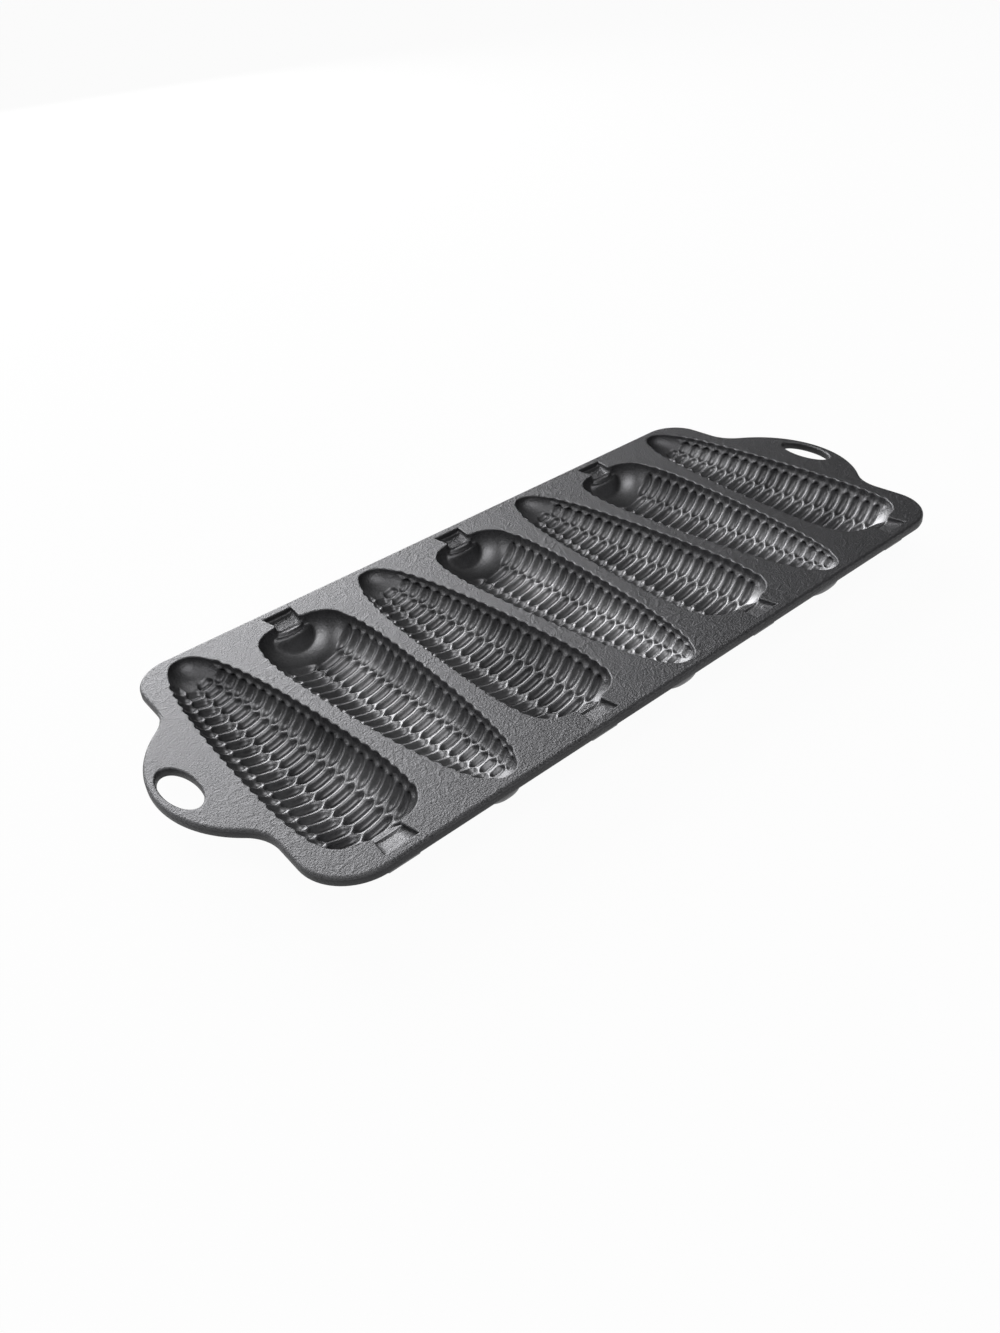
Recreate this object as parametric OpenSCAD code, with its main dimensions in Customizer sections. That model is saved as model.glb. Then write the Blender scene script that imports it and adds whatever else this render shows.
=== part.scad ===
// Corn stick pan: one iron casting, drawn as the deck plate, its two lug handles
// and the seven corn ear cups. X runs along the pan, Y across it with the back
// at +Y, and the resting faces of the cups lie at Z = 0.

/* [Pan] */
// Overall length over both lug handles
pan_l = 323.85; // [321:0.05:400]
// Width of the deck from its front edge to its back edge
pan_w = 139.7; // [125:0.1:170]
// Height from the resting faces up to the top of the deck
pan_h = 19.05; // [18:0.05:26]
// Thickness of the deck plate
deck_t = 3.4; // [2.6:0.1:4.5]
// Extra length of the deck's front edge over its back edge, shared by both ends
end_lean = 8.6; // [2:0.1:11]
// Radius of the two front corners
front_corner_r = 18; // [12:0.5:20]
// Radius of the two back corners
back_corner_r = 15; // [10:0.5:17]
// Deck beyond the widest part of the end cups, at mid width
end_margin = 3.6; // [3:0.1:8]
// Deck between the front or back edge and the ends of the cups
rim_margin = 4.1; // [3.4:0.1:8]
// Rounding of the upper edges of the casting
edge_r = 1.1; // [0.4:0.1:1.4]
// Small bevel along the lower edges of the deck
under_bevel = 0.5; // [0.2:0.1:0.8]

/* [Lug handles] */
// How far each lug stands out from the end of the deck
lug_reach = 19; // [15:0.5:26]
// Radius of the lug's outer curve
lug_r = 42; // [36:0.5:46]
// Radius of the hollow curves that lead from the deck into the lug
lug_fillet_r = 16; // [8:0.5:18]
// Shift of the lugs from mid width towards the back
lug_shift = 2.8; // [0:0.1:4]
// Length of the oval hanging hole, across the pan
hole_l = 24.2; // [14:0.1:28]
// Width of the oval hanging hole, along the pan
hole_w = 10.6; // [7:0.1:12]
// Iron left between the hole and the outermost edge of the lug
hole_rim = 2.7; // [2.2:0.1:5]
// Eased edge round the hole
hole_ease = 0.6; // [0.2:0.1:0.9]

/* [Corn ear cups] */
// Iron left between the rims of two neighbouring cups, if both were widest there
web_w = 3.1; // [2.6:0.1:6]
// Depth of an ear from the deck's top to the ridges between its kernels
cup_d = 13.8; // [10:0.1:14.4]
// Height of the ridges between the kernels
kernel_relief = 1.1; // [0.5:0.1:1.4]
// How far the kernels scallop the rim of the cup
rim_scallop = 0.8; // [0.2:0.1:1]
// Kernels in one row along the ear
kernels = 20; // [8:1:22]
// Smooth length at the tip of the ear
tip_smooth = 9; // [5:0.5:20]
// Smooth length at the butt of the ear
butt_smooth = 10.8; // [8:0.1:30]
// Length over which the ear slopes up to its butt
butt_slope = 15; // [10:0.5:30]
// Half width of the flat face that a cup rests on
rest_half_w = 4.5; // [3:0.1:7]

/* [Stalk recess] */
// Length of the stalk recess beyond the butt
stalk_l = 8.1; // [5:0.1:12]
// Width of the stalk recess where it leaves the butt
stalk_neck_w = 10.4; // [8:0.1:11]
// Width of the stalk recess at its outer end
stalk_end_w = 12.4; // [11:0.1:14]
// Depth of the stalk recess where it leaves the butt
stalk_neck_d = 3; // [2.4:0.1:3.6]
// Depth of the stalk recess at its outer end
stalk_end_d = 2; // [1.4:0.1:2.4]
// Height of the collar step between the butt and the stalk recess
collar_step = 1.2; // [0.8:0.1:2]
// Width of the collar step on each side of the stalk recess
collar_w = 1.8; // [1.2:0.1:3]

/* [Hidden] */
cups = 7;
mid_cup = (cups + 1) / 2;
deck_top = pan_h;
deck_under = pan_h - deck_t;
end_slope = end_lean / pan_w;
end_turn = atan(end_slope);
// Half length of the deck at mid width, which leaves room for the lug's outermost point
lug_centre_v = lug_reach - lug_r;
end_half = pan_l / 2 - lug_r - lug_centre_v * cos(end_turn) + end_slope * lug_shift;
cup_pitch = (2 * (end_half - end_margin) + web_w) / cups;
// Greatest width of an ear, and the iron between its rim and its seam with the deck
cup_w = cup_pitch - web_w;
seam_wall = web_w / 2;
tip_y = pan_w / 2 - rim_margin;
ear_l = 2 * tip_y - stalk_l;
butt_y = tip_y - ear_l;
// Shares of the ear's length: where it is widest, and how fast the butt narrows
widest_share = 0.78;
butt_taper_share = 0.387;
// Radius of the two shoulders at the butt, which end at the collar step
butt_half = cup_w / 2 * sqrt(1 - pow((1 - widest_share) / butt_taper_share, 2));
shoulder_r = butt_half - stalk_neck_w / 2 - collar_w;
// Powers of the curve from the tip to the widest place
tip_power = 1.35;
tip_blunt = 0.37;
// Powers that square up the stalk's section and draw the underside in
stalk_square = 0.45;
under_power = 1.6;
// Seams between the rows of kernels, as shares of the half turn across the ear
seam_shares = [0, 0.08, 0.295, 0.5, 0.705, 0.92, 1];
// How far in from a seam the floor of a kernel starts, as a share of its row
floor_share = 0.28;
// Sideways lean of a seam round each kernel, as a share of the half turn
zigzag_share = 0.014;
// Kernels at the tip are shallower, by this power of the ear's width there
shallow_power = 0.6;
// Steps along the smooth tip and the smooth butt, as shares of their lengths
tip_step_shares = [0.1, 0.35, 0.7];
butt_step_shares = [0.45, 0.74, 0.92, 1];
// Corners of the seam outline along the ear, as shares of its length
seam_step_shares = [0.012, 0.05, 0.13, 0.24, 0.37, 0.51, 0.66, 0.79, 0.88, 0.945, 0.98];
// Steps of the underside, as shares of the turn from its wall to its flat face
under_step_shares = [0.25, 0.6, 1];
// How much the underside of the stalk draws in below the deck
stalk_draw_share = 0.82;
// Steps round a corner, a fillet, half a lug and half a hole
corner_steps = 6;
fillet_steps = 5;
lug_steps = 6;
hole_steps = 10;

// Points on an arc round c, from angle a0 to angle a1
function arc(c, r, a0, a1, n) =
    [for (i = [0:n]) c + r * [cos(a0 + (a1 - a0) * i / n), sin(a0 + (a1 - a0) * i / n)]];
// The same arc without its two ends
function bend(c, r, a0, a1, n) = arc(c, r, a0 + (a1 - a0) / n, a1 - (a1 - a0) / n, n - 2);
// A list in the opposite order, and the numbers from a up or down to b
function back(l) = [for (i = [len(l) - 1:-1:0]) l[i]];
function count(a, b) = [for (i = [a:(a < b ? 1 : -1):b]) i];
// Right hand normal of the edge from a to b
function normal(a, b) = let (d = (b - a) / norm(b - a)) [d.y, -d.x];
// The closed outline p moved outwards by d times the share w of each point
function grow(p, d, w) = let (n = len(p)) [for (i = [0:n - 1])
    let (n1 = normal(p[(i + n - 1) % n], p[i]), n2 = normal(p[i], p[(i + 1) % n]))
    p[i] + d * w[i] * (n1 + n2) / (1 + n1 * n2)];
// An outline p as points at height z
function level(p, z) = [for (q = p) [q.x, q.y, z]];

// The leaning end edge: directions along it and out from it, and a point at [u, v] on those
end_long = [-end_slope, 1] / norm([end_slope, 1]);
end_out = [1, end_slope] / norm([end_slope, 1]);
function on_end(p) = [end_half - end_slope * lug_shift, lug_shift] + p.x * end_long + p.y * end_out;

// Outline of a lug in those directions: front foot, fillet, outer curve, fillet, back foot, root
fillet_u = sqrt(pow(lug_r + lug_fillet_r, 2) - pow(lug_fillet_r - lug_centre_v, 2));
fillet_turn = atan2(lug_centre_v - lug_fillet_r, fillet_u);
lug_uv = concat(
    arc([-fillet_u, lug_fillet_r], lug_fillet_r, -90, fillet_turn, fillet_steps),
    bend([0, lug_centre_v], lug_r, 180 + fillet_turn, 90 + end_turn, lug_steps),
    [[0, lug_centre_v] + lug_r * [-sin(end_turn), cos(end_turn)]],
    bend([0, lug_centre_v], lug_r, 90 + end_turn, -fillet_turn, lug_steps),
    arc([fillet_u, lug_fillet_r], lug_fillet_r, 180 - fillet_turn, 270, fillet_steps),
    [[0, 0]]);
lug_outline = [for (p = lug_uv) on_end(p)];
lug_root = len(lug_uv) - 1;
lug_nose = fillet_steps + lug_steps;
// The rounding of the edges fades out at the feet of the lug
lug_shares = [for (p = lug_uv) min(p.y / (2 * edge_r), 1)];

// Outline of the deck, with a point in front of and behind each cup's middle
function cup_x(k) = (k - mid_cup) * cup_pitch;
function corner(r, side, a0, a1) = let (y = side * (pan_w / 2 - r))
    arc([(end_half * end_out.x - r - end_out.y * y) / end_out.x, y], r, a0, a1, corner_steps);
deck_side = concat(
    corner(front_corner_r, -1, -90, end_turn),
    [lug_outline[0], lug_outline[lug_root - 1]],
    corner(back_corner_r, 1, end_turn, 90));
side_shares = [for (p = deck_side) p == lug_outline[0] || p == lug_outline[lug_root - 1] ? 0 : 1];
deck_outline = concat(
    deck_side,
    [for (k = [cups:-1:1]) [cup_x(k), pan_w / 2]],
    [for (p = back(deck_side)) [-p.x, p.y]],
    [for (k = [1:cups]) [cup_x(k), -pan_w / 2]]);
even_shares = [for (k = [1:cups]) 1];
deck_shares = concat(side_shares, even_shares, back(side_shares), even_shares);

// Loops of points up the edge of the casting, bevelled below and rounded above
function edge_loops(p, w) = [
    level(grow(p, -under_bevel, w), deck_under),
    level(p, deck_under + under_bevel),
    level(p, deck_top - edge_r),
    for (a = [45, 90]) level(grow(p, edge_r * (cos(a) - 1), w), deck_top - edge_r * (1 - sin(a)))];
// Faces round a stack of equal loops whose points start at index a; flip turns them inwards
function stack_faces(a, n, loops, flip = false) = [for (j = [0:loops - 2], i = [0:n - 1])
    let (p = a + j * n + i, q = a + j * n + (i + 1) % n)
    flip ? [q, q + n, p + n, p] : [p, p + n, q + n, q]];

// Right hand lug with its oval hanging hole
module lug() {
    centre = [pan_l / 2 - hole_rim - hole_w / 2, lug_shift];
    oval = [for (i = [0:2 * hole_steps - 1]) let (a = 180 * i / hole_steps)
        centre + [hole_w / 2 * cos(a), hole_l / 2 * sin(a)]];
    ease = [for (p = oval) 1];
    wide = grow(oval, hole_ease, ease);
    outer = edge_loops(lug_outline, lug_shares);
    inner = [level(wide, deck_under), level(oval, deck_under + hole_ease),
        level(oval, deck_top - hole_ease), level(wide, deck_top)];
    n = len(lug_outline);
    m = len(oval);
    hole = n * len(outer);
    // One face each side of the line from the root through the hole to the nose
    function front(o, h) = concat([for (i = concat([lug_root], count(0, lug_nose))) o + i],
        [h], [for (i = count(m - 1, hole_steps)) h + i]);
    function rear(o, h) = concat([for (i = count(lug_nose, lug_root)) o + i],
        [for (i = count(hole_steps, 0)) h + i]);
    top_o = n * (len(outer) - 1);
    top_h = hole + m * (len(inner) - 1);
    polyhedron(
        [for (l = concat(outer, inner)) each l],
        concat(
            stack_faces(0, n, len(outer)),
            stack_faces(hole, m, len(inner), true),
            [front(0, hole), rear(0, hole), back(front(top_o, top_h)), back(rear(top_o, top_h))]));
}

// Half width of an ear outline at distance s from its tip
function ear_half(s, w, l, r) = let (
    m = widest_share * l,
    side = s < m
        ? w / 2 * pow(1 - pow(1 - max(s, 0) / m, tip_power), tip_blunt)
        : w / 2 * sqrt(1 - pow((s - m) / (butt_taper_share * l), 2)),
    t = max(s - (l - r), 0))
    side - r + sqrt(max(r * r - t * t, 0));
// Depth of the ear below the deck at distance s from its tip
function ear_deep(s) = let (
    bare = cup_d * ear_half(min(s, widest_share * ear_l), cup_w, ear_l, shoulder_r) / (cup_w / 2),
    t = max(s - (ear_l - butt_slope), 0) / butt_slope,
    butt_d = stalk_neck_d + collar_step)
    t > 0 ? butt_d + (cup_d - butt_d) * sqrt(max(1 - t * t, 0)) : bare;

// Stations along the ear: place, half width, depth, squareness and kernel step
kernel_step = (ear_l - tip_smooth - butt_smooth) / kernels / 2;
function ear_station(s, step) =
    [tip_y - s, ear_half(s, cup_w, ear_l, shoulder_r), ear_deep(s), 1, step];
stations = concat(
    [for (q = tip_step_shares) ear_station(q * tip_smooth, -1)],
    [for (i = [0:2 * kernels]) ear_station(tip_smooth + i * kernel_step, i)],
    [for (q = butt_step_shares) ear_station(ear_l - butt_smooth * (1 - q), -1)],
    [[butt_y, stalk_neck_w / 2, stalk_neck_d, stalk_square, -1],
        [-tip_y, stalk_end_w / 2, stalk_end_d, stalk_square, -1]]);

// Places across the ear: share of the half turn, row of kernels and floor or seam
rows = len(seam_shares) - 1;
across = concat(
    [[0, 0, true]],
    [for (r = [0:rows - 2]) each concat(
        r == 0 ? [] : [for (f = [floor_share, 1 - floor_share])
            [seam_shares[r] + f * (seam_shares[r + 1] - seam_shares[r]), r, true]],
        [[seam_shares[r + 1], r, false]])],
    [[1, rows - 1, true]]);

// One point of the cup's inside
function cavity_point(st, ac) = let (
    low = st[4] > 0 && st[4] < 2 * kernels && (st[4] + ac[1]) % 2 == 1,
    moves = st[4] > 0 && st[4] < 2 * kernels && !ac[2],
    a = 180 * (ac[0] + (moves ? (low ? zigzag_share : -zigzag_share) : 0)),
    rim = ac[0] == 0 || ac[0] == 1,
    tall = rim ? rim_scallop : kernel_relief * pow(2 * st[1] / cup_w, shallow_power),
    out = low && ac[2] ? tall : 0,
    n = rim ? [cos(a), 0] : [st[2] * cos(a), st[1] * sin(a)] / norm([st[2] * cos(a), st[1] * sin(a)]),
    c = cos(a),
    x = st[1] * sign(c) * pow(abs(c), st[3]) + out * n.x,
    z = rim ? 0 : st[2] * pow(sin(a), st[3]) + out * n.y)
    [x, st[0], deck_top - z];

// Seam between a cup and the deck, on the +X side, from the tip to the stalk
seam_l = ear_l + 2 * seam_wall;
seam_side = concat(
    [for (q = seam_step_shares)
        [ear_half(q * seam_l, cup_w + 2 * seam_wall, seam_l, shoulder_r + seam_wall),
            tip_y + seam_wall - q * seam_l]],
    [[stalk_neck_w / 2 + seam_wall, butt_y - seam_wall],
        [stalk_end_w / 2 + seam_wall, -tip_y],
        [stalk_end_w / 2, -tip_y - seam_wall]]);
seam = concat([[0, tip_y + seam_wall]], seam_side, back([for (p = seam_side) [-p.x, p.y]]));
corners = len(seam_side);

// Underside: the seam's corners drawn in towards the keel and down to the resting face
keel_half = tip_y - cup_w / 2;
rest_turn = acos(pow(rest_half_w / (cup_w / 2 + seam_wall), 1 / under_power));
// Counts the two corners at the stalk's end, on either side, as 1 and 2
function stalk_corner(k) = max(min(k, 2 * corners + 1 - k) - corners + 2, 0);
function under_point(k, q) = let (
    e = stalk_corner(k),
    p = seam[k],
    b = e == 0 ? p : [sign(p.x) * (stalk_neck_w / 2 + seam_wall) * (3 - e) / 3, butt_y - seam_wall],
    keel_y = max(min(b.y, keel_half), -keel_half),
    f = pow(cos(rest_turn * q), under_power),
    z = deck_under * (1 - sin(rest_turn * q) / sin(rest_turn)))
    e > 0 && q == under_step_shares[0]
        ? [p.x * stalk_draw_share, butt_y + (p.y - butt_y) * stalk_draw_share, z]
        : [b.x * f, keel_y + (b.y - keel_y) * f, z];

// The flush rim, from the cavity's edge to the seam. First each stretch of the edge between
// two kernels' outermost points, and the seam corner that it is filled out to. The outermost
// points are those of every other kernel step, from the first one on that side
tips = len(tip_step_shares);
butt_station = tips + 2 * kernels + len(butt_step_shares);
function edge_stations(first) = concat([-1], count(0, tips - 1),
    [for (i = [first:2:2 * kernels]) tips + i],
    count(tips + 2 * kernels + 1, butt_station + 2));
function edge_y(i) = i < 0 ? tip_y : stations[i][0];
function facing(at, n) = let (a = at[n], b = at[n + 1])
    a == butt_station ? corners - 2 : a == butt_station + 1 ? corners - 1 : a == butt_station + 2 ? corners
    : len([for (k = [0:corners - 4]) if (seam[k].y + seam[k + 1].y > edge_y(a) + edge_y(b)) k]);
// Faces of one side, from functions that give the index of an edge and of a seam point
function rim_side(edge, seam_at, first, flip) = let (at = edge_stations(first)) [for (f = concat(
    [for (n = [0:len(at) - 2]) [edge(at[n]), seam_at(facing(at, n)), edge(at[n + 1])]],
    [for (n = [0:len(at) - 1]) each
        [for (k = [(n == 0 ? 0 : facing(at, n - 1)):1:facing(at, n) - 1])
            [edge(at[n]), seam_at(k), seam_at(k + 1)]]],
    [for (i = [1 - first:2:2 * kernels]) [edge(tips + i - 1), edge(tips + i + 1), edge(tips + i)]]))
    flip ? back(f) : f];

// One cup: kernelled inside, flush rim, seam wall and underside
module cup_shell() {
    na = len(across);
    ns = len(stations);
    nl = len(seam);
    nu = len(under_step_shares);
    inside = [for (st = stations, ac = across) cavity_point(st, ac)];
    under = [for (q = under_step_shares, k = [0:nl - 1]) under_point(k, q)];
    // Where each list of points starts
    tip = len(inside);
    top = tip + 1;
    low = top + nl;
    function in(i, j) = i * na + j;
    cavity_faces = concat(
        [for (j = [0:na - 2]) [tip, in(0, j), in(0, j + 1)]],
        [for (i = [0:ns - 2], j = [0:na - 2]) each [
            [in(i, j), in(i + 1, j), in(i + 1, j + 1)],
            [in(i, j), in(i + 1, j + 1), in(i, j + 1)]]],
        [[for (j = [na - 1:-1:0]) in(ns - 1, j)]]);
    rim_faces = concat(
        rim_side(function (i) i < 0 ? tip : in(i, 0), function (k) top + k, 1, false),
        rim_side(function (i) i < 0 ? tip : in(i, na - 1), function (k) top + (nl - k) % nl, rows % 2, true),
        [[top + corners, top + corners + 1, in(ns - 1, na - 1)],
            [top + corners, in(ns - 1, na - 1), in(ns - 1, 0)]]);
    wall_faces = [for (l = [0:nu], k = [0:nl - 1]) let (
        a = top + l * nl + k,
        b = top + l * nl + (k + 1) % nl) each [[b, a, a + nl], [b, a + nl, b + nl]]];
    rest_face = [[for (k = [nl - 1:-1:0]) low + nu * nl + k]];
    polyhedron(
        concat(inside, [[0, tip_y, deck_top]], level(seam, deck_top), level(seam, deck_under), under),
        concat(cavity_faces, rim_faces, wall_faces, rest_face));
}

// Places cup k, with the tips of odd cups at the back and of even ones in front
module place(k) {
    translate([cup_x(k), 0, 0])
        rotate([0, 0, k % 2 == 1 ? 0 : 180])
            children();
}

// The deck plate, with an opening for each cup. Its faces are cut at the cups' middles
module deck() {
    loops = edge_loops(deck_outline, deck_shares);
    n = len(deck_outline);
    ns = len(deck_side);
    // The seam, with one more point at the middle of the stalk's end
    opening = [for (i = [0:len(seam) - 1]) each i == corners ? [seam[i], [0, seam[i].y]] : [seam[i]]];
    nl = len(opening);
    high = n * len(loops);
    low = high + cups * nl;
    seams = [for (k = [1:cups], p = opening) k % 2 == 1 ? [cup_x(k) + p.x, p.y] : [cup_x(k) - p.x, -p.y]];
    // Its points down the right of cup k, and up its left
    half_a = count(0, corners + 1);
    half_b = concat(count(corners + 1, nl - 1), [0]);
    function right(k) = [for (i = k % 2 == 1 ? half_a : half_b) (k - 1) * nl + i];
    function left(k) = [for (i = k % 2 == 1 ? half_b : half_a) (k - 1) * nl + i];
    function behind(k) = ns + cups - k;
    function before(k) = 2 * ns + cups + k - 1;
    // One face per web between cups and one per end, seen from above, anticlockwise
    function web(o, h, k) = concat([o + before(k), o + before(k + 1)], [for (i = left(k + 1)) h + i],
        [o + behind(k + 1), o + behind(k)], [for (i = right(k)) h + i]);
    function right_end(o, h) = concat([o + before(cups)], [for (i = [0:ns - 1]) o + i],
        [o + behind(cups)], [for (i = right(cups)) h + i]);
    function left_end(o, h) = concat([o + behind(1)], [for (i = [ns + cups:2 * ns + cups - 1]) o + i],
        [o + before(1)], [for (i = left(1)) h + i]);
    function sheet(o, h) = concat([right_end(o, h), left_end(o, h)], [for (k = [1:cups - 1]) web(o, h, k)]);
    color("#6b6b6e")
        polyhedron(
            concat([for (l = loops) each l], level(seams, deck_top), level(seams, deck_under)),
            concat(
                stack_faces(0, n, len(loops)),
                [for (k = [0:cups - 1], i = [0:nl - 1]) let (
                    p = high + k * nl + i,
                    q = high + k * nl + (i + 1) % nl) [q + cups * nl, p + cups * nl, p, q]],
                [for (f = sheet(n * (len(loops) - 1), high)) back(f)],
                sheet(0, low)));
}

module handle(side) {
    color("#77777a")
        if (side > 0) lug();
        else mirror([1, 0, 0]) lug();
}

module cup(k) {
    color("#4b4b4e")
        place(k)
            cup_shell();
}

deck();
handle(-1);  // handle_left
handle(1);  // handle_right
cup(1);  // cup_1
cup(2);  // cup_2
cup(3);  // cup_3
cup(4);  // cup_4
cup(5);  // cup_5
cup(6);  // cup_6
cup(7);  // cup_7
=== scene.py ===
import math

import bmesh
import bpy
from mathutils import Matrix, Vector


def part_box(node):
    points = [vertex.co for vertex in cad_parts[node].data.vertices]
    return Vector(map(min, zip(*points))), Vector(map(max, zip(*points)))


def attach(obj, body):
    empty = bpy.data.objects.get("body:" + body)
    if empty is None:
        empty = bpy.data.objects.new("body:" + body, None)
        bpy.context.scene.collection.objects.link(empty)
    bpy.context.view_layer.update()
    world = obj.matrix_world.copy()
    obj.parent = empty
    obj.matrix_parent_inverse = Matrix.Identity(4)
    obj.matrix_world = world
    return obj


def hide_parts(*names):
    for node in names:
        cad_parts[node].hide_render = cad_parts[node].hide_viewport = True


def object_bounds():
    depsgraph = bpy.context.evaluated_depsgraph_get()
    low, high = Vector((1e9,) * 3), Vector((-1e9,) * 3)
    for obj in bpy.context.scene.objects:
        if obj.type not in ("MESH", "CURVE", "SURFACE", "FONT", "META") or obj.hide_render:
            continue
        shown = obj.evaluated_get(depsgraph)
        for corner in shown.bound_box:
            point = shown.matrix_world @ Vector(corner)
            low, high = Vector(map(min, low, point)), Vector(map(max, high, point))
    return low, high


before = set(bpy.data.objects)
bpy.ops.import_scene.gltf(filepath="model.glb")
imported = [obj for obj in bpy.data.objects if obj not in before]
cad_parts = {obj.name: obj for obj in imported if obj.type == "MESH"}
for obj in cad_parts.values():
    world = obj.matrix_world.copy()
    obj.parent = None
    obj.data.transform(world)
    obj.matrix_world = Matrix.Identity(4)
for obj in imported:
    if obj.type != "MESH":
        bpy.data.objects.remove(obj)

bl_info = {
    "name": "Corn stick pan",
    "version": (1, 0, 0),
    "blender": (4, 5, 0),
    "location": "3D View > Sidebar > Corn stick pan",
    "description": "Sand cast iron pan with seven kernelled corn ear cups and two lug handles",
    "category": "Add Mesh",
}

CAD_LOW, CAD_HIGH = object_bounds()
DECK_LOW, DECK_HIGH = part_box("deck")
CUPS = 7


def linear(code):
    """Linear colour of an sRGB hex value"""
    parts = [int(code[i:i + 2], 16) / 255 for i in (1, 3, 5)]
    return tuple(c / 12.92 if c <= 0.04045 else ((c + 0.055) / 1.055) ** 2.4 for c in parts)


def length(name, about, value, low=0.0001, high=0.5):
    """A length that the user can change, in metres"""
    return bpy.props.FloatProperty(name=name, description=about, default=value, min=low, max=high,
                                   unit="LENGTH", precision=5)


def hue(name, about, code):
    """A colour that the user can change"""
    return bpy.props.FloatVectorProperty(name=name, description=about, default=linear(code), subtype="COLOR",
                                         size=3, min=0, max=1)


class PanSizes(bpy.types.PropertyGroup):
    """Sizes of the casting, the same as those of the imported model"""
    pan_length: length("Overall length", "Length over both lug handles", CAD_HIGH.x - CAD_LOW.x)
    pan_width: length("Width", "From the front edge to the back edge", DECK_HIGH.y - DECK_LOW.y)
    pan_height: length("Height", "From the resting faces to the top of the deck", CAD_HIGH.z)
    deck_thick: length("Deck thickness", "Thickness of the deck plate", DECK_HIGH.z - DECK_LOW.z)
    end_lean: length("End lean", "Extra length of the front edge over the back edge", 0.0086)
    front_corner: length("Front corners", "Radius of the two front corners", 0.018)
    back_corner: length("Back corners", "Radius of the two back corners", 0.015)
    end_margin: length("End margin", "Deck beyond the widest part of the end cups", 0.0036)
    rim_margin: length("Edge margin", "Deck between the long edges and the cups", 0.0041)
    edge_round: length("Edge rounding", "Rounding of the upper outer edges", 0.0011)
    under_bevel: length("Lower bevel", "Bevel of the lower outer edges", 0.0005)
    lug_reach: length("Lug reach", "How far a lug stands out from the deck", 0.019)
    lug_round: length("Lug radius", "Radius of the lug's outer curve", 0.042)
    lug_fillet: length("Lug fillet", "Radius of the hollow curves into the lug", 0.016)
    lug_shift: length("Lug shift", "Shift of the lugs towards the back", 0.0028)
    hole_long: length("Hole length", "Length of the hanging hole, across the pan", 0.0242)
    hole_wide: length("Hole width", "Width of the hanging hole, along the pan", 0.0106)
    hole_rim: length("Hole rim", "Iron between the hole and the lug's outermost edge", 0.0027)
    web: length("Web", "Iron left between neighbouring cups", 0.0031)
    ear_depth: length("Ear depth", "Depth of an ear down to its ridges", 0.0138)
    kernel_depth: length("Kernel depth", "Height of the ridges between the kernels", 0.0019)
    rim_scallop: length("Rim scallop", "How far the kernels cut into the rim", 0.0006)
    kernels: bpy.props.IntProperty(name="Kernels", description="Kernels in one row", default=20, min=8, max=24)
    tip_smooth: length("Smooth tip", "Smooth length at the tip of an ear", 0.009)
    butt_smooth: length("Smooth butt", "Smooth length at the butt", 0.0108)
    butt_slope: length("Butt slope", "Length over which an ear slopes up to its butt", 0.015)
    stalk_long: length("Stalk length", "Length of the stalk recess", 0.0081)
    stalk_neck: length("Stalk neck", "Width of the stalk recess at the butt", 0.0104)
    stalk_end: length("Stalk end", "Width of the stalk recess at its outer end", 0.0124)
    stalk_deep: length("Stalk depth", "Depth of the stalk recess at the butt", 0.003)
    stalk_shallow: length("Stalk end depth", "Depth of the stalk recess at its outer end", 0.002)
    tongue: length("Tongue", "How far the stalk's floor runs into the butt", 0.0017)
    collar_step: length("Collar step", "Height of the collar step", 0.0012)
    collar_wide: length("Collar width", "Width of the collar step beside the stalk", 0.0018)
    cup_edge: length("Cup edge", "Rounding of a cup's edge", 0.0005)
    rest_half: length("Resting strip", "Half width of the face that a cup rests on", 0.0045)
    deck_grey: hue("Deck iron", "Colour of the sand cast deck", "#6c6c6e")
    # Painted light: the cups are the same iron as the deck, drawn in a lighter grey
    cup_grey: hue("Cup iron", "Colour of the iron inside the cups", "#9e9ea0")
    soot_grey: hue("Seasoning", "Colour of the dark seasoned patches", "#6b6b6d")


# Shares that draw an ear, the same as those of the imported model: where it is widest, how long its taper
# to the butt is, and where round its half turn the seams between the rows of kernels lie
WIDEST_SHARE = 0.78
TAPER_SHARE = 0.387
SEAM_SHARES = (0, 0.08, 0.295, 0.5, 0.705, 0.92, 1)
ROWS = len(SEAM_SHARES) - 1

# The kernel count of a row of corners that has no kernels
BARE = -9
# How far the seams swing round the kernels, as a share of the half turn
SWING = 0.014
# Below 1, it moves a kernel's deepest place towards the tip
LEAN = 0.62
# The width over which the stalk's collar blends into the ear, in metres
COLLAR_BLEND = 0.0012

# Sizes of the iron's pattern, in metres: sand grains of 0.7 mm, mould wrinkles 5.2 mm apart that a 9 mm
# noise bends, seasoned patches of 22 mm, and the 0.3 mm that the grains and wrinkles stand up
SAND_GRAIN = 0.0007
MOULD_WRINKLE = 0.0052
WRINKLE_BEND = 0.009
SOOT_PATCH = 0.022
GRAIN_HEIGHT = 0.0003

# Name, place in metres, size in metres and power in watts of the soft lamps, which aim at the pan
LAMPS = (
    ("key_softbox", (0.2, 1.28, 0.55), 1.0, 21),
    ("side_softbox", (-0.95, 0.85, 0.75), 0.6, 3),
    ("top_softbox", (-0.3, -0.4, 1.2), 0.7, 5),
)


def step_up(value, low, high):
    """A soft step from 0 at low to 1 at high"""
    t = max(0, min(1, (value - low) / (high - low)))
    return t * t * (3 - 2 * t)


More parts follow.
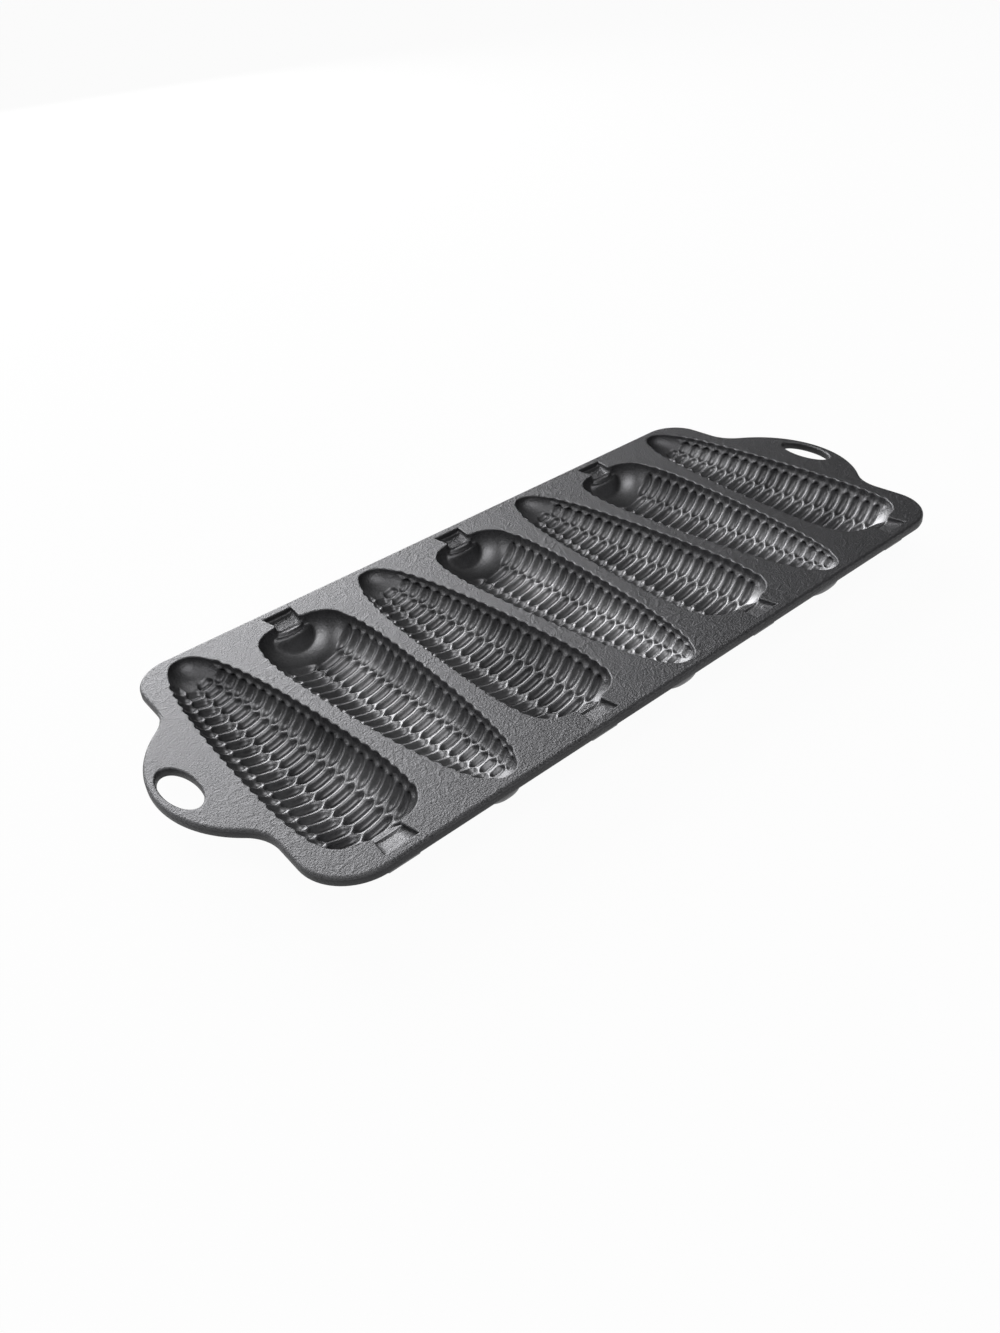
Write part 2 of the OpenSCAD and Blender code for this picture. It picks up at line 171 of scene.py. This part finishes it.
class Casting:
    """The sizes that follow from the ones the user can set"""

    def __init__(self, s):
        self.s = s
        self.slope = s.end_lean / s.pan_width
        self.turn = math.atan(self.slope)
        self.lug_centre = s.lug_reach - s.lug_round
        self.end_half = (s.pan_length / 2 - s.lug_round - self.lug_centre * math.cos(self.turn)
                         + self.slope * s.lug_shift)
        self.pitch = (2 * (self.end_half - s.end_margin) + s.web) / CUPS
        self.cup_wide = self.pitch - s.web
        self.wall = s.web / 2
        self.tip_y = s.pan_width / 2 - s.rim_margin
        self.ear = 2 * self.tip_y - s.stalk_long
        self.butt_y = self.tip_y - self.ear
        butt_half = self.cup_wide / 2 * math.sqrt(1 - ((1 - WIDEST_SHARE) / TAPER_SHARE) ** 2)
        self.shoulder = butt_half - s.stalk_neck / 2 - s.collar_wide
        self.top = s.pan_height
        self.under = s.pan_height - s.deck_thick

    def cup_x(self, k):
        return (k - (CUPS + 1) / 2) * self.pitch

    def outline_half(self, d, wide, long, shoulder):
        """Half width of an ear outline at distance d from its tip"""
        m = WIDEST_SHARE * long
        if d < m:
            side = wide / 2 * (1 - (1 - max(d, 0) / m) ** 1.35) ** 0.37
        else:
            side = wide / 2 * math.sqrt(max(1 - ((d - m) / (TAPER_SHARE * long)) ** 2, 0))
        t = max(d - (long - shoulder), 0)
        return side - shoulder + math.sqrt(max(shoulder ** 2 - t ** 2, 0))

    def ear_half(self, d):
        return self.outline_half(d, self.cup_wide, self.ear, self.shoulder)

    def ear_deep(self, d):
        s = self.s
        bare = s.ear_depth * self.ear_half(min(d, WIDEST_SHARE * self.ear)) / (self.cup_wide / 2)
        t = max(d - (self.ear - s.butt_slope), 0) / s.butt_slope
        butt = s.stalk_deep + s.collar_step
        return butt + (s.ear_depth - butt) * max(1 - t * t, 0) ** 0.65 if t > 0 else bare

    def shelf(self, x, y):
        """Depth of the stalk's round tongue and of the crescent collar round it, y from the butt"""
        s = self.s
        tongue = math.hypot(x / (s.stalk_neck / 2), y / s.tongue)
        collar = math.hypot(x / (s.stalk_neck / 2 + s.collar_wide * 1.3), y / (s.tongue + s.collar_wide))
        return (s.stalk_deep + s.collar_step * step_up(tongue, 0.9, 1.1)
                + s.ear_depth * step_up(collar, 0.94, 2.1))

    def cup_rows(self):
        """Rows across a cup from tip to stalk: place, half width, depth, squareness, kernel count, end wall"""
        s = self.s
        marks = [s.tip_smooth * (i / 24) ** 1.5 for i in range(25)]
        step = (self.ear - s.tip_smooth - s.butt_smooth) / s.kernels
        marks += [s.tip_smooth + step * i / 12 for i in range(1, s.kernels * 12 + 1)]
        slope = s.butt_smooth - self.shoulder
        marks += [self.ear - s.butt_smooth + slope * i / 9 for i in range(1, 10)]
        marks += [self.ear - self.shoulder + self.shoulder * math.sin(math.pi / 2 * i / 32)
                  for i in range(1, 33)]
        rows = [(self.tip_y - d, self.ear_half(d), self.ear_deep(d), 1, (d - s.tip_smooth) / step, 0)
                for d in marks]
        # The collar step, rounded over into the neck of the stalk recess
        half, deep = rows[-1][1], rows[-1][2]
        neck_y = self.butt_y - s.collar_wide * 0.8
        for i in range(1, 7):
            q = i / 6
            keep = (1 - q) ** 2
            rows.append((self.butt_y + (neck_y - self.butt_y) * q,
                         s.stalk_neck / 2 + (half - s.stalk_neck / 2) * keep,
                         s.stalk_deep + (deep - s.stalk_deep) * keep, 1 - 0.55 * q, BARE, 0))
        for i in range(1, 9):
            q = i / 8
            rows.append((neck_y + (-self.tip_y - neck_y) * q,
                         (s.stalk_neck + (s.stalk_end - s.stalk_neck) * q) / 2,
                         s.stalk_deep + (s.stalk_shallow - s.stalk_deep) * q, 0.45, BARE, 0))
        for i in (1, 2, 3):
            rows.append((-self.tip_y - 0.00004 * i, s.stalk_end / 2, s.stalk_shallow, 0.45, BARE, i / 3))
        return rows

    def cup_columns(self):
        """Places across a cup: share of the half turn, row, place from a kernel's middle, place in the row"""
        cols = []
        for r in range(ROWS):
            low, high = SEAM_SHARES[r], SEAM_SHARES[r + 1]
            # The two outer rows are half kernels, cut through by the rim
            n = 7 if r in (0, ROWS - 1) else 16
            for i in range(n):
                q = i / n
                across = q if r == 0 else q - 1 if r == ROWS - 1 else 2 * q - 1
                cols.append((low + (high - low) * q, r, across, q))
        cols.append((1, ROWS - 1, 0, 1))
        return cols

    def seam(self):
        """Outline of the seam between the deck and a cup whose middle is at the origin"""
        long, wide = self.ear + 2 * self.wall, self.cup_wide + 2 * self.wall
        shoulder = self.shoulder + self.wall
        marks = [long * 0.06 * (i / 8) ** 2 for i in range(1, 9)]
        marks += [long * (0.06 + (1 - shoulder / long - 0.06) * i / 30) for i in range(1, 31)]
        marks += [long - shoulder + shoulder * math.sin(math.radians(80) * i / 8) for i in range(1, 9)]
        side = [(self.outline_half(d, wide, long, shoulder), self.tip_y + self.wall - d) for d in marks]
        s = self.s
        side += [(s.stalk_neck / 2 + self.wall, self.butt_y - self.wall),
                 (s.stalk_end / 2 + self.wall, -self.tip_y - self.wall * 0.3),
                 (s.stalk_end / 2 + self.wall * 0.3, -self.tip_y - self.wall)]
        loop = [(0, self.tip_y + self.wall)] + side + [(0, -self.tip_y - self.wall)]
        loop += [(-x, y) for x, y in reversed(side)]
        return [Vector((x, y, 0)) for x, y in loop]

    def placed(self, k, points):
        """Points of a cup put in their place. Odd cups have their tips at the back, even ones in front"""
        turn = 1 if k % 2 else -1
        return [Vector((self.cup_x(k) + turn * p.x, turn * p.y, p.z)) for p in points]

    def outline(self):
        """Outline of the deck with both lugs, anticlockwise from the middle of the front edge"""
        s = self.s
        along = Vector((-self.slope, 1)).normalized()
        out = Vector((1, self.slope)).normalized()
        root = Vector((self.end_half - self.slope * s.lug_shift, s.lug_shift))

        def arc(c, r, a, b, n):
            return [c + r * Vector((math.cos(a + (b - a) * i / n), math.sin(a + (b - a) * i / n)))
                    for i in range(n + 1)]

        def corner(r, side, a, b):
            y = side * (s.pan_width / 2 - r)
            return arc(Vector(((self.end_half * out.x - r - out.y * y) / out.x, y)), r, a, b, 20)

        u = math.sqrt((s.lug_round + s.lug_fillet) ** 2 - (s.lug_fillet - self.lug_centre) ** 2)
        t = math.atan2(self.lug_centre - s.lug_fillet, u)
        q = math.pi / 2
        lug = arc(Vector((-u, s.lug_fillet)), s.lug_fillet, -q, t, 16)
        lug += arc(Vector((0, self.lug_centre)), s.lug_round, 2 * q + t, -t, 34)[1:-1]
        lug += arc(Vector((u, s.lug_fillet)), s.lug_fillet, 2 * q - t, 3 * q, 16)
        lug = [root + p.x * along + p.y * out for p in lug]
        right = corner(s.front_corner, -1, -q, self.turn) + lug + corner(s.back_corner, 1, self.turn, q)
        left = [Vector((-p.x, p.y)) for p in reversed(right)]
        return [Vector((p.x, p.y, 0)) for p in right + left]

    def hole(self, side):
        """Outline of a hanging hole"""
        s = self.s
        x = side * (s.pan_length / 2 - s.hole_rim - s.hole_wide / 2)
        return [Vector((x + s.hole_wide / 2 * math.cos(a), s.lug_shift + s.hole_long / 2 * math.sin(a), 0))
                for a in (math.tau * i / 64 for i in range(64))]


def outward(points):
    """Sideways direction at each point of a closed outline, to its right hand, lengthened at corners"""
    n = len(points)
    found = []
    for i in range(n):
        a, b, c = points[i - 1], points[i], points[(i + 1) % n]
        d1, d2 = (b - a).to_2d().normalized(), (c - b).to_2d().normalized()
        n1, n2 = Vector((d1.y, -d1.x)), Vector((d2.y, -d2.x))
        m = (n1 + n2) / max(1 + n1.dot(n2), 0.5)
        found.append(Vector((m.x, m.y, 0)))
    return found


def ring(bm, points, z):
    """A closed ring of corners at height z"""
    made = bmesh.ops.create_circle(bm, segments=len(points), radius=1)["verts"]
    for v, p in zip(made, points):
        v.co = (p.x, p.y, z)
    return made


def ring_edges(bm, corners):
    return [bm.edges.get((a, b)) for a, b in zip(corners, corners[1:] + corners[:1])]


def grow(bm, corners, places):
    """Extrudes a closed ring and puts each new corner in its place"""
    made = bmesh.ops.extrude_edge_only(bm, edges=ring_edges(bm, corners))["geom"]
    fresh = {v for v in made if isinstance(v, bmesh.types.BMVert)}
    out = []
    for v, place in zip(corners, places):
        w = next(e.other_vert(v) for e in v.link_edges if e.other_vert(v) in fresh)
        w.co = place
        out.append(w)
    return out


def fill_flat(bm, *rings):
    """Flat faces between rings, shaded flat"""
    edges = [e for corners in rings for e in ring_edges(bm, corners)]
    made = bmesh.ops.triangle_fill(bm, use_beauty=True, use_dissolve=False, edges=edges)["geom"]
    for f in made:
        if isinstance(f, bmesh.types.BMFace):
            f.material_index = 1


def finish_piece(bm, name, node, material):
    """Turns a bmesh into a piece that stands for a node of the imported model"""
    bmesh.ops.recalc_face_normals(bm, faces=bm.faces)
    for f in bm.faces:
        f.smooth = f.material_index == 0
        f.material_index = 0
    mesh = bpy.data.meshes.new(name)
    bm.to_mesh(mesh)
    bm.free()
    mesh.materials.append(material)
    piece = bpy.data.objects.new(name, mesh)
    bpy.context.scene.collection.objects.link(piece)
    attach(piece, "root")
    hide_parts(node)


def add_node(tree, kind, links=None, **settings):
    """Adds a shader node. Links maps an input to a value or to another node's output"""
    node = tree.nodes.new(kind)
    for key, value in settings.items():
        setattr(node, key, value)
    for key, value in (links or {}).items():
        if isinstance(value, bpy.types.NodeSocket):
            tree.links.new(value, node.inputs[key])
        else:
            node.inputs[key].default_value = value
    return node


def seasoned_cast_iron(name, s, painted_shade_share, low, high):
    """Grey iron cast in green sand and seasoned: a dull satin skin with grain left by the sand.

    Painted shade: faces whose normal has a height below low keep only the given share of their colour, and
    above high all
    """
    mat = bpy.data.materials.new(name)
    mat.use_nodes = True
    tree = mat.node_tree
    shader = tree.nodes["Principled BSDF"]
    place = add_node(tree, "ShaderNodeTexCoord").outputs["Object"]
    # 1 on the deck's flush top and 0 from 8 mm below it, where the cups are smoother and painted a lighter grey
    # than the same iron of the deck, which is painted light
    height = add_node(tree, "ShaderNodeSeparateXYZ", {"Vector": place}).outputs["Z"]
    flush = add_node(tree, "ShaderNodeMapRange", {"Value": height, "From Min": s.pan_height - 0.008,
                                                  "From Max": s.pan_height - 0.0003}).outputs[0]
    # Sand grains, drawn coarser than the real 0.2 mm so that they show
    sand = add_node(tree, "ShaderNodeTexNoise", {"Vector": place, "Scale": 1 / SAND_GRAIN, "Detail": 3.0,
                                                 "Roughness": 0.6}).outputs["Fac"]
    # Shallow wrinkles of the mould face, bent by a coarser noise and fading out in patches
    bend = add_node(tree, "ShaderNodeTexNoise", {"Vector": place, "Scale": 1 / WRINKLE_BEND, "Detail": 2.0})
    shifted = add_node(tree, "ShaderNodeMixRGB", {"Fac": 0.0045, "Color1": place,
                                                  "Color2": bend.outputs["Color"]}, blend_type="ADD")
    cells = add_node(tree, "ShaderNodeTexVoronoi", {"Vector": shifted.outputs[0], "Scale": 1 / MOULD_WRINKLE},
                     feature="DISTANCE_TO_EDGE").outputs["Distance"]
    crease = add_node(tree, "ShaderNodeMapRange", {"Value": cells, "From Min": 0.0, "From Max": 0.16,
                                                   "To Min": 1.0, "To Max": 0.0}).outputs[0]
    patch = add_node(tree, "ShaderNodeTexNoise", {"Vector": place, "Scale": 1 / SOOT_PATCH,
                                                  "Detail": 2.0}).outputs["Fac"]
    where = add_node(tree, "ShaderNodeMapRange", {"Value": patch, "From Min": 0.36, "From Max": 0.6}).outputs[0]
    wrinkle = add_node(tree, "ShaderNodeMath", {0: crease, 1: where}, operation="MULTIPLY").outputs[0]
    folds = add_node(tree, "ShaderNodeMath", {0: wrinkle, 1: 0.25, 2: 0.0}, operation="MULTIPLY_ADD").outputs[0]
    relief = add_node(tree, "ShaderNodeMath", {0: sand, 1: 0.9, 2: folds}, operation="MULTIPLY_ADD").outputs[0]
    rise = add_node(tree, "ShaderNodeMapRange", {"Value": flush, "To Min": 0.25, "To Max": 1.0}).outputs[0]
    bump = add_node(tree, "ShaderNodeBump", {"Strength": rise, "Distance": GRAIN_HEIGHT, "Height": relief})
    # The colour: clean iron with darker seasoned patches, and a lighter speck on each grain
    tone = add_node(tree, "ShaderNodeMapRange", {"Value": patch, "From Min": 0.3, "From Max": 0.7}).outputs[0]
    clean = add_node(tree, "ShaderNodeMixRGB", {"Fac": flush, "Color1": (*s.cup_grey, 1),
                                                "Color2": (*s.deck_grey, 1)}).outputs[0]
    body = add_node(tree, "ShaderNodeMixRGB", {"Fac": tone, "Color1": (*s.soot_grey, 1), "Color2": clean})
    fine = add_node(tree, "ShaderNodeMapRange", {"Value": sand, "From Min": 0.3, "From Max": 0.7,
                                                 "To Min": 0.82, "To Max": 1.12}).outputs[0]
    colour = add_node(tree, "ShaderNodeMixRGB", {"Fac": 1.0, "Color1": body.outputs[0], "Color2": fine},
                      blend_type="MULTIPLY")
    # Painted shade: the outer flanks and the faces that look down are darkened, which makes the outline read as
    # a dark line
    facing = add_node(tree, "ShaderNodeNewGeometry").outputs["Normal"]
    up = add_node(tree, "ShaderNodeSeparateXYZ", {"Vector": facing}).outputs["Z"]
    shade = add_node(tree, "ShaderNodeMapRange", {"Value": up, "From Min": low, "From Max": high,
                                                  "To Min": painted_shade_share, "To Max": 1.0}).outputs[0]
    colour = add_node(tree, "ShaderNodeMixRGB", {"Fac": 1.0, "Color1": colour.outputs[0], "Color2": shade},
                      blend_type="MULTIPLY")
    # Cast iron with a dry skin has a broad, satin gloss, and the cups shine a little more than the deck
    gloss = add_node(tree, "ShaderNodeMapRange", {"Value": sand, "From Min": 0.3, "From Max": 0.7,
                                                  "To Min": 0.36, "To Max": 0.5}).outputs[0]
    gloss = add_node(tree, "ShaderNodeMath", {0: flush, 1: 0.08, 2: gloss}, operation="MULTIPLY_ADD").outputs[0]
    tree.links.new(colour.outputs[0], shader.inputs["Base Color"])
    tree.links.new(gloss, shader.inputs["Roughness"])
    tree.links.new(bump.outputs[0], shader.inputs["Normal"])
    shader.inputs["Metallic"].default_value = 1.0
    return mat


class PAN_OT_plate(bpy.types.Operator):
    """Casts the deck plate and the two lug handles, with their rounded edges and openings"""
    bl_idname = "pan.cast_plate"
    bl_label = "Deck and lug handles"

    def execute(self, context):
        s = context.scene.pan_sizes
        c = Casting(s)
        outline = c.outline()
        side = outward(outline)
        r, b = s.edge_round, s.under_bevel
        # A narrow flat strip inside each rounding keeps its shading clear of the flat faces
        strip = 0.0004

        def out(move, z):
            return [Vector((p.x + n.x * move, p.y + n.y * move, z)) for p, n in zip(outline, side)]

        bm = bmesh.new()
        lowest = ring(bm, out(-b - strip, 0), c.under)
        loop = grow(bm, lowest, out(-b, c.under))
        loop = grow(bm, loop, out(-b * 0.3, c.under + b * 0.3))
        loop = grow(bm, loop, out(0, c.under + b))
        loop = grow(bm, loop, out(0, c.top - r))
        for i in range(1, 6):
            a = math.pi / 2 * i / 5
            loop = grow(bm, loop, out(r * (math.cos(a) - 1), c.top - r * (1 - math.sin(a))))
        highest = grow(bm, loop, out(-r - strip, c.top))
        tops, lows = [highest], [lowest]
        for k in range(1, CUPS + 1):
            seam = c.placed(k, c.seam())
            upper = ring(bm, seam, c.top)
            tops.append(upper)
            lows.append(grow(bm, upper, [Vector((p.x, p.y, c.under)) for p in seam]))
        for end in (-1, 1):
            hole = c.hole(end)
            side_h = outward(hole)
            # Moves away from the hole's wall, and heights, from the top round the wall to below
            e, strip_h = 0.0006, 0.0003
            steps = [(e + strip_h, c.top), (e, c.top), (e * 0.3, c.top - e * 0.3), (0, c.top - e),
                     (0, c.under + e), (e * 0.3, c.under + e * 0.3), (e, c.under), (e + strip_h, c.under)]
            places = [[Vector((p.x + n.x * m, p.y + n.y * m, z)) for p, n in zip(hole, side_h)]
                      for m, z in steps]
            loop = ring(bm, places[0], c.top)
            tops.append(loop)
            for place in places[1:]:
                loop = grow(bm, loop, place)
            lows.append(loop)
        fill_flat(bm, *tops)
        fill_flat(bm, *lows)
        # The plate is cut along its leaning ends, and each cut face is filled
        out_x = Vector((1, c.slope, 0)).normalized()
        # The last three numbers give the painted shade on the flanks and under faces: its share and the normal
        # heights where it starts and ends
        iron = seasoned_cast_iron("sand_cast_deck_iron", s, 0.3, 0.1, 0.6)
        lug_iron = seasoned_cast_iron("sand_cast_lug_iron", s, 0.3, 0.1, 0.6)
        for name in ("deck", "handle_left", "handle_right"):
            part = bm.copy()
            for end in (-1, 1):
                if name == "deck" or (name == "handle_right") == (end == 1):
                    n = Vector((end * out_x.x, out_x.y, 0))
                    at = Vector((end * (c.end_half + 0.00002), 0, 0))
                    cut = bmesh.ops.bisect_plane(part, geom=part.verts[:] + part.edges[:] + part.faces[:],
                                                 dist=1e-7, plane_co=at, plane_no=n,
                                                 clear_outer=name == "deck", clear_inner=name != "deck")
                    edges = [e for e in cut["geom_cut"] if isinstance(e, bmesh.types.BMEdge) and e.is_boundary]
                    filled = bmesh.ops.triangle_fill(part, use_beauty=True, use_dissolve=False, edges=edges)
                    for f in filled["geom"]:
                        if isinstance(f, bmesh.types.BMFace):
                            f.material_index = 1
            finish_piece(part, name + "_iron", name, iron if name == "deck" else lug_iron)
        bm.free()
        return {"FINISHED"}


def kernel_pocket(count, r, across, low, high, lean):
    """How far a kernel's floor lies below the ridges, from 0 to 1, and where in its cycle the row is.

    Low and high are the first and last counts that have kernels. Every second row is half a kernel on
    """
    phase = count + (0.5 if r % 2 else 0)
    along = 2 * (phase % 1) ** lean - 1
    first, last = (low + 0.5, high - 0.5) if r % 2 else (low, high)
    cycle = -math.cos(math.tau * phase)
    if not first <= count <= last:
        return 0, cycle
    # The powers make a long slot with round ends between broad, rounded ridges
    return max(1 - 1.5 * along ** 2 - across ** 6, 0) ** 1.4, cycle


class PAN_OT_cups(bpy.types.Operator):
    """Casts the seven corn ear cups, head to tail, with their kernels, collars and stalk recesses"""
    bl_idname = "pan.cast_cups"
    bl_label = "Corn ear cups"

    def execute(self, context):
        s = context.scene.pan_sizes
        # The last three numbers give the painted shade on the faces under the cups: its share and the normal
        # heights where it starts and ends
        iron = seasoned_cast_iron("sand_cast_cup_iron", s, 0.35, -0.04, 0.0)
        c = Casting(s)
        for k in range(1, CUPS + 1):
            self.cast(c, k, iron)
        return {"FINISHED"}

    def cast(self, c, k, iron):
        s = c.s
        rows, cols = c.cup_rows(), c.cup_columns()
        nr, nc = len(rows) - 1, len(cols) - 1
        # The front end of each cup has one more kernel in a row, be it the tip or the butt
        low, high = (0, s.kernels + 1) if k % 2 else (-1, s.kernels)
        # In the cups with their tips at the back, the kernels are deepest on their tip side
        lean = LEAN if k % 2 else 1
        bm = bmesh.new()
        bmesh.ops.create_grid(bm, x_segments=nc, y_segments=nr, size=0.5)
        tip = []
        for v in bm.verts:
            i, j = round((v.co.y + 0.5) * nr), round((v.co.x + 0.5) * nc)
            y, half, deep, square, count, wall = rows[i]
            share, r, across, q = cols[j]
            edge = min(s.cup_edge, deep * 0.6)
            pocket, cycle = kernel_pocket(count, r, across, low, high, lean)
            busy = low <= count <= high
            if busy:
                # Seams swing round the kernels on both of their sides
                share += SWING * cycle * ((0 if r == 0 else q - 1) + (0 if r == ROWS - 1 else q))
            # The cup's curve starts where it is as deep as the edge's rounding
            a0 = math.asin(min((edge / deep) ** (1 / square), 1)) if deep > 0 else 0
            a = a0 + (math.pi - 2 * a0) * share
            ca, sa = math.cos(a), max(math.sin(a), 0)
            inner = max(half - edge / 2, 0)
            x = inner * math.copysign(abs(ca) ** square, ca)
            z = -deep * sa ** square
            rim = j in (0, nc)
            if busy:
                # Near the rim, the kernels' relief gives way to the scallops'
                near = min(abs(x) / max(inner, 1e-6), 1) ** 6
                tall = s.kernel_depth * (2 * half / c.cup_wide) ** 0.6 * (1 - near) + s.rim_scallop * near
                n = Vector((deep * ca, half * sa)) if not rim else Vector((math.copysign(1, ca), 0))
                n.normalize()
                x += n.x * tall * pocket
                z -= n.y * tall * pocket
            if y > c.butt_y:
                # A soft maximum, so that the ear's floor blends into the shelf
                other = -c.shelf(x, y - c.butt_y)
                z = (z + other + math.hypot(z - other, COLLAR_BLEND)) / 2
            if wall:
                z = z * (1 - wall) - edge * wall
            if rim:
                z = -edge
            if i == 0:
                x, z = 0, -s.cup_edge
                tip.append(v)
            v.co = (x, y, c.top + z)
        bmesh.ops.pointmerge(bm, verts=tip, merge_co=(0, c.tip_y, c.top - s.cup_edge))
        # Walk round the open edge from the tip, clockwise seen from above
        start = min((v for v in bm.verts if v.is_boundary), key=lambda v: -v.co.y)
        loop, last = [start], None
        while True:
            v = loop[-1]
            steps = [e.other_vert(v) for e in v.link_edges if e.is_boundary]
            if last is None:
                following = max(steps, key=lambda w: w.co.x)
            else:
                following = next(w for w in steps if w is not last)
            if following is start:
                break
            last = v
            loop.append(following)
        base = [v.co.copy() for v in loop]
        # The walk is clockwise, so its left hand side is the outside
        side = [-n for n in outward(base)]
        for step in range(1, 5):
            a = math.pi / 2 * step / 4
            loop = grow(bm, loop, [Vector((p.x + n.x * (c.top - p.z) * (1 - math.cos(a)),
                                           p.y + n.y * (c.top - p.z) * (1 - math.cos(a)),
                                           c.top - (c.top - p.z) * (1 - math.sin(a))))
                                   for p, n in zip(base, side)])
        rim = grow(bm, loop, [v.co + n * 0.0002 for v, n in zip(loop, side)])
        for v in rim:
            v.co.z = c.top
        seam = c.seam()
        upper = ring(bm, seam, c.top)
        fill_flat(bm, rim, upper)
        loop = grow(bm, upper, [Vector((p.x, p.y, c.under)) for p in seam])
        for step in range(1, 17):
            loop = grow(bm, loop, self.under(c, seam, step / 16))
        fill_flat(bm, loop)
        turn = Matrix.Rotation(0 if k % 2 else math.pi, 3, "Z")
        bmesh.ops.rotate(bm, verts=bm.verts, cent=(0, 0, 0), matrix=turn)
        bmesh.ops.translate(bm, verts=bm.verts, vec=(c.cup_x(k), 0, 0))
        finish_piece(bm, "cup_%d_iron" % k, "cup_%d" % k, iron)

    def under(self, c, seam, q):
        """The seam outline drawn in under the cup, at share q of the way from the deck to the resting face"""
        s = c.s
        keel = c.tip_y - c.cup_wide / 2
        rest_turn = math.acos((s.rest_half / (c.cup_wide / 2 + c.wall)) ** (1 / 1.6))
        f = math.cos(rest_turn * q) ** 1.6
        z = c.under * (1 - math.sin(rest_turn * q) / math.sin(rest_turn))
        out = []
        for p in seam:
            stalk = p.y < c.butt_y - c.wall - 1e-6
            b = Vector((p.x, p.y))
            if stalk:
                b = Vector((p.x * 0.7, c.butt_y - c.wall))
            keel_y = max(min(b.y, keel), -keel)
            low = Vector((b.x * f, keel_y + (b.y - keel_y) * f))
            if stalk:
                # The pad under the stalk recess stays out, and then folds in under the butt
                keep = step_up(0.4 - q, 0, 0.15)
                pad = 1 - 0.75 * q
                high = Vector((p.x * pad, c.butt_y + (p.y - c.butt_y) * pad))
                low = high * keep + low * (1 - keep)
            out.append(Vector((low.x, low.y, z)))
        return out


class PAN_OT_stage(bpy.types.Operator):
    """Sets the pale floor, the soft lights and the camera"""
    bl_idname = "pan.set_stage"
    bl_label = "Stage, lights and camera"

    def execute(self, context):
        scene = context.scene
        scene.view_settings.view_transform = "Standard"
        bm = bmesh.new()
        bmesh.ops.create_grid(bm, x_segments=8, y_segments=8, size=12)
        mesh = bpy.data.meshes.new("floor")
        bm.to_mesh(mesh)
        bm.free()
        floor = bpy.data.objects.new("floor", mesh)
        scene.collection.objects.link(floor)
        mesh.materials.append(self.pale_card())
        self.sky(scene)
        for name, place, size, power in LAMPS:
            self.lamp(name, place, size, power)
        self.camera(scene)
        return {"FINISHED"}

    def pale_card(self):
        """Matt white card, which the camera and gloss see as white, with a soft shadow"""
        mat = bpy.data.materials.new("matt_white_card")
        mat.use_nodes = True
        tree = mat.node_tree
        tree.nodes.clear()
        path = add_node(tree, "ShaderNodeLightPath").outputs
        seen = add_node(tree, "ShaderNodeMath", {0: path["Is Camera Ray"], 1: path["Is Glossy Ray"]},
                        operation="MAXIMUM").outputs[0]
        lit = add_node(tree, "ShaderNodeBsdfDiffuse", {"Color": (0.8, 0.8, 0.8, 1)})
        glow = add_node(tree, "ShaderNodeEmission", {"Color": (1, 1, 1, 1), "Strength": seen})
        half = add_node(tree, "ShaderNodeMixShader", {0: 0.96, 1: lit.outputs[0], 2: glow.outputs[0]})
        out = add_node(tree, "ShaderNodeOutputMaterial")
        tree.links.new(half.outputs[0], out.inputs["Surface"])
        return mat

    def sky(self, scene):
        """White to the camera, and a dim room to the iron, which keeps its dark tone"""
        world = bpy.data.worlds.new("studio")
        scene.world = world
        world.use_nodes = True
        tree = world.node_tree
        tree.nodes.clear()
        path = add_node(tree, "ShaderNodeLightPath").outputs
        strength = add_node(tree, "ShaderNodeMapRange", {"Value": path["Is Camera Ray"], "To Min": 0.1,
                                                         "To Max": 1.0}).outputs[0]
        sky = add_node(tree, "ShaderNodeBackground", {"Color": (1, 1, 1, 1), "Strength": strength})
        out = add_node(tree, "ShaderNodeOutputWorld")
        tree.links.new(sky.outputs[0], out.inputs["Surface"])

    def lamp(self, name, place, size, power):
        """A square soft lamp that aims at the middle of the pan"""
        light = bpy.data.lights.new(name, "AREA")
        light.shape = "SQUARE"
        light.size = size
        light.energy = power
        lamp = bpy.data.objects.new(name, light)
        lamp.location = place
        lamp.rotation_euler = (-Vector(place)).to_track_quat("-Z", "Y").to_euler()
        bpy.context.scene.collection.objects.link(lamp)

    def camera(self, scene):
        """A 31 mm view from the front left, fitted to the photograph"""
        cam = bpy.data.cameras.new("camera")
        cam.lens = 30.99
        cam.sensor_width = 36
        cam.shift_x = -53 / 1333
        cam.clip_start = 0.01
        turn, rise, roll = math.radians(-40.36), math.radians(35.48), math.radians(-4.23)
        back = Vector((math.sin(turn) * math.cos(rise), -math.cos(turn) * math.cos(rise), math.sin(rise)))
        right = (-back).cross(Vector((0, 0, 1))).normalized()
        up = right.cross(-back)
        r2 = right * math.cos(roll) + up * math.sin(roll)
        u2 = up * math.cos(roll) - right * math.sin(roll)
        place = Matrix((r2, u2, back)).transposed().to_4x4()
        place.translation = (-0.2383, -0.2750, 0.24365)
        obj = bpy.data.objects.new("camera", cam)
        obj.matrix_world = place
        scene.collection.objects.link(obj)
        scene.camera = obj


class PAN_PT_panel(bpy.types.Panel):
    """Lists the steps and the sizes of the pan"""
    bl_idname = "PAN_PT_panel"
    bl_label = "Corn stick pan"
    bl_space_type = "VIEW_3D"
    bl_region_type = "UI"
    bl_category = "Corn stick pan"

    def draw(self, context):
        for step in STEPS:
            self.layout.operator(step.bl_idname)
        for name in PanSizes.__annotations__:
            self.layout.prop(context.scene.pan_sizes, name)


STEPS = (PAN_OT_plate, PAN_OT_cups, PAN_OT_stage)
CLASSES = (PanSizes, *STEPS, PAN_PT_panel)


def register():
    for cls in CLASSES:
        bpy.utils.register_class(cls)
    bpy.types.Scene.pan_sizes = bpy.props.PointerProperty(type=PanSizes)


def unregister():
    del bpy.types.Scene.pan_sizes
    for cls in reversed(CLASSES):
        bpy.utils.unregister_class(cls)


def main():
    register()
    bpy.ops.pan.cast_plate()
    bpy.ops.pan.cast_cups()
    bpy.ops.pan.set_stage()


if __name__ == "__main__":
    main()
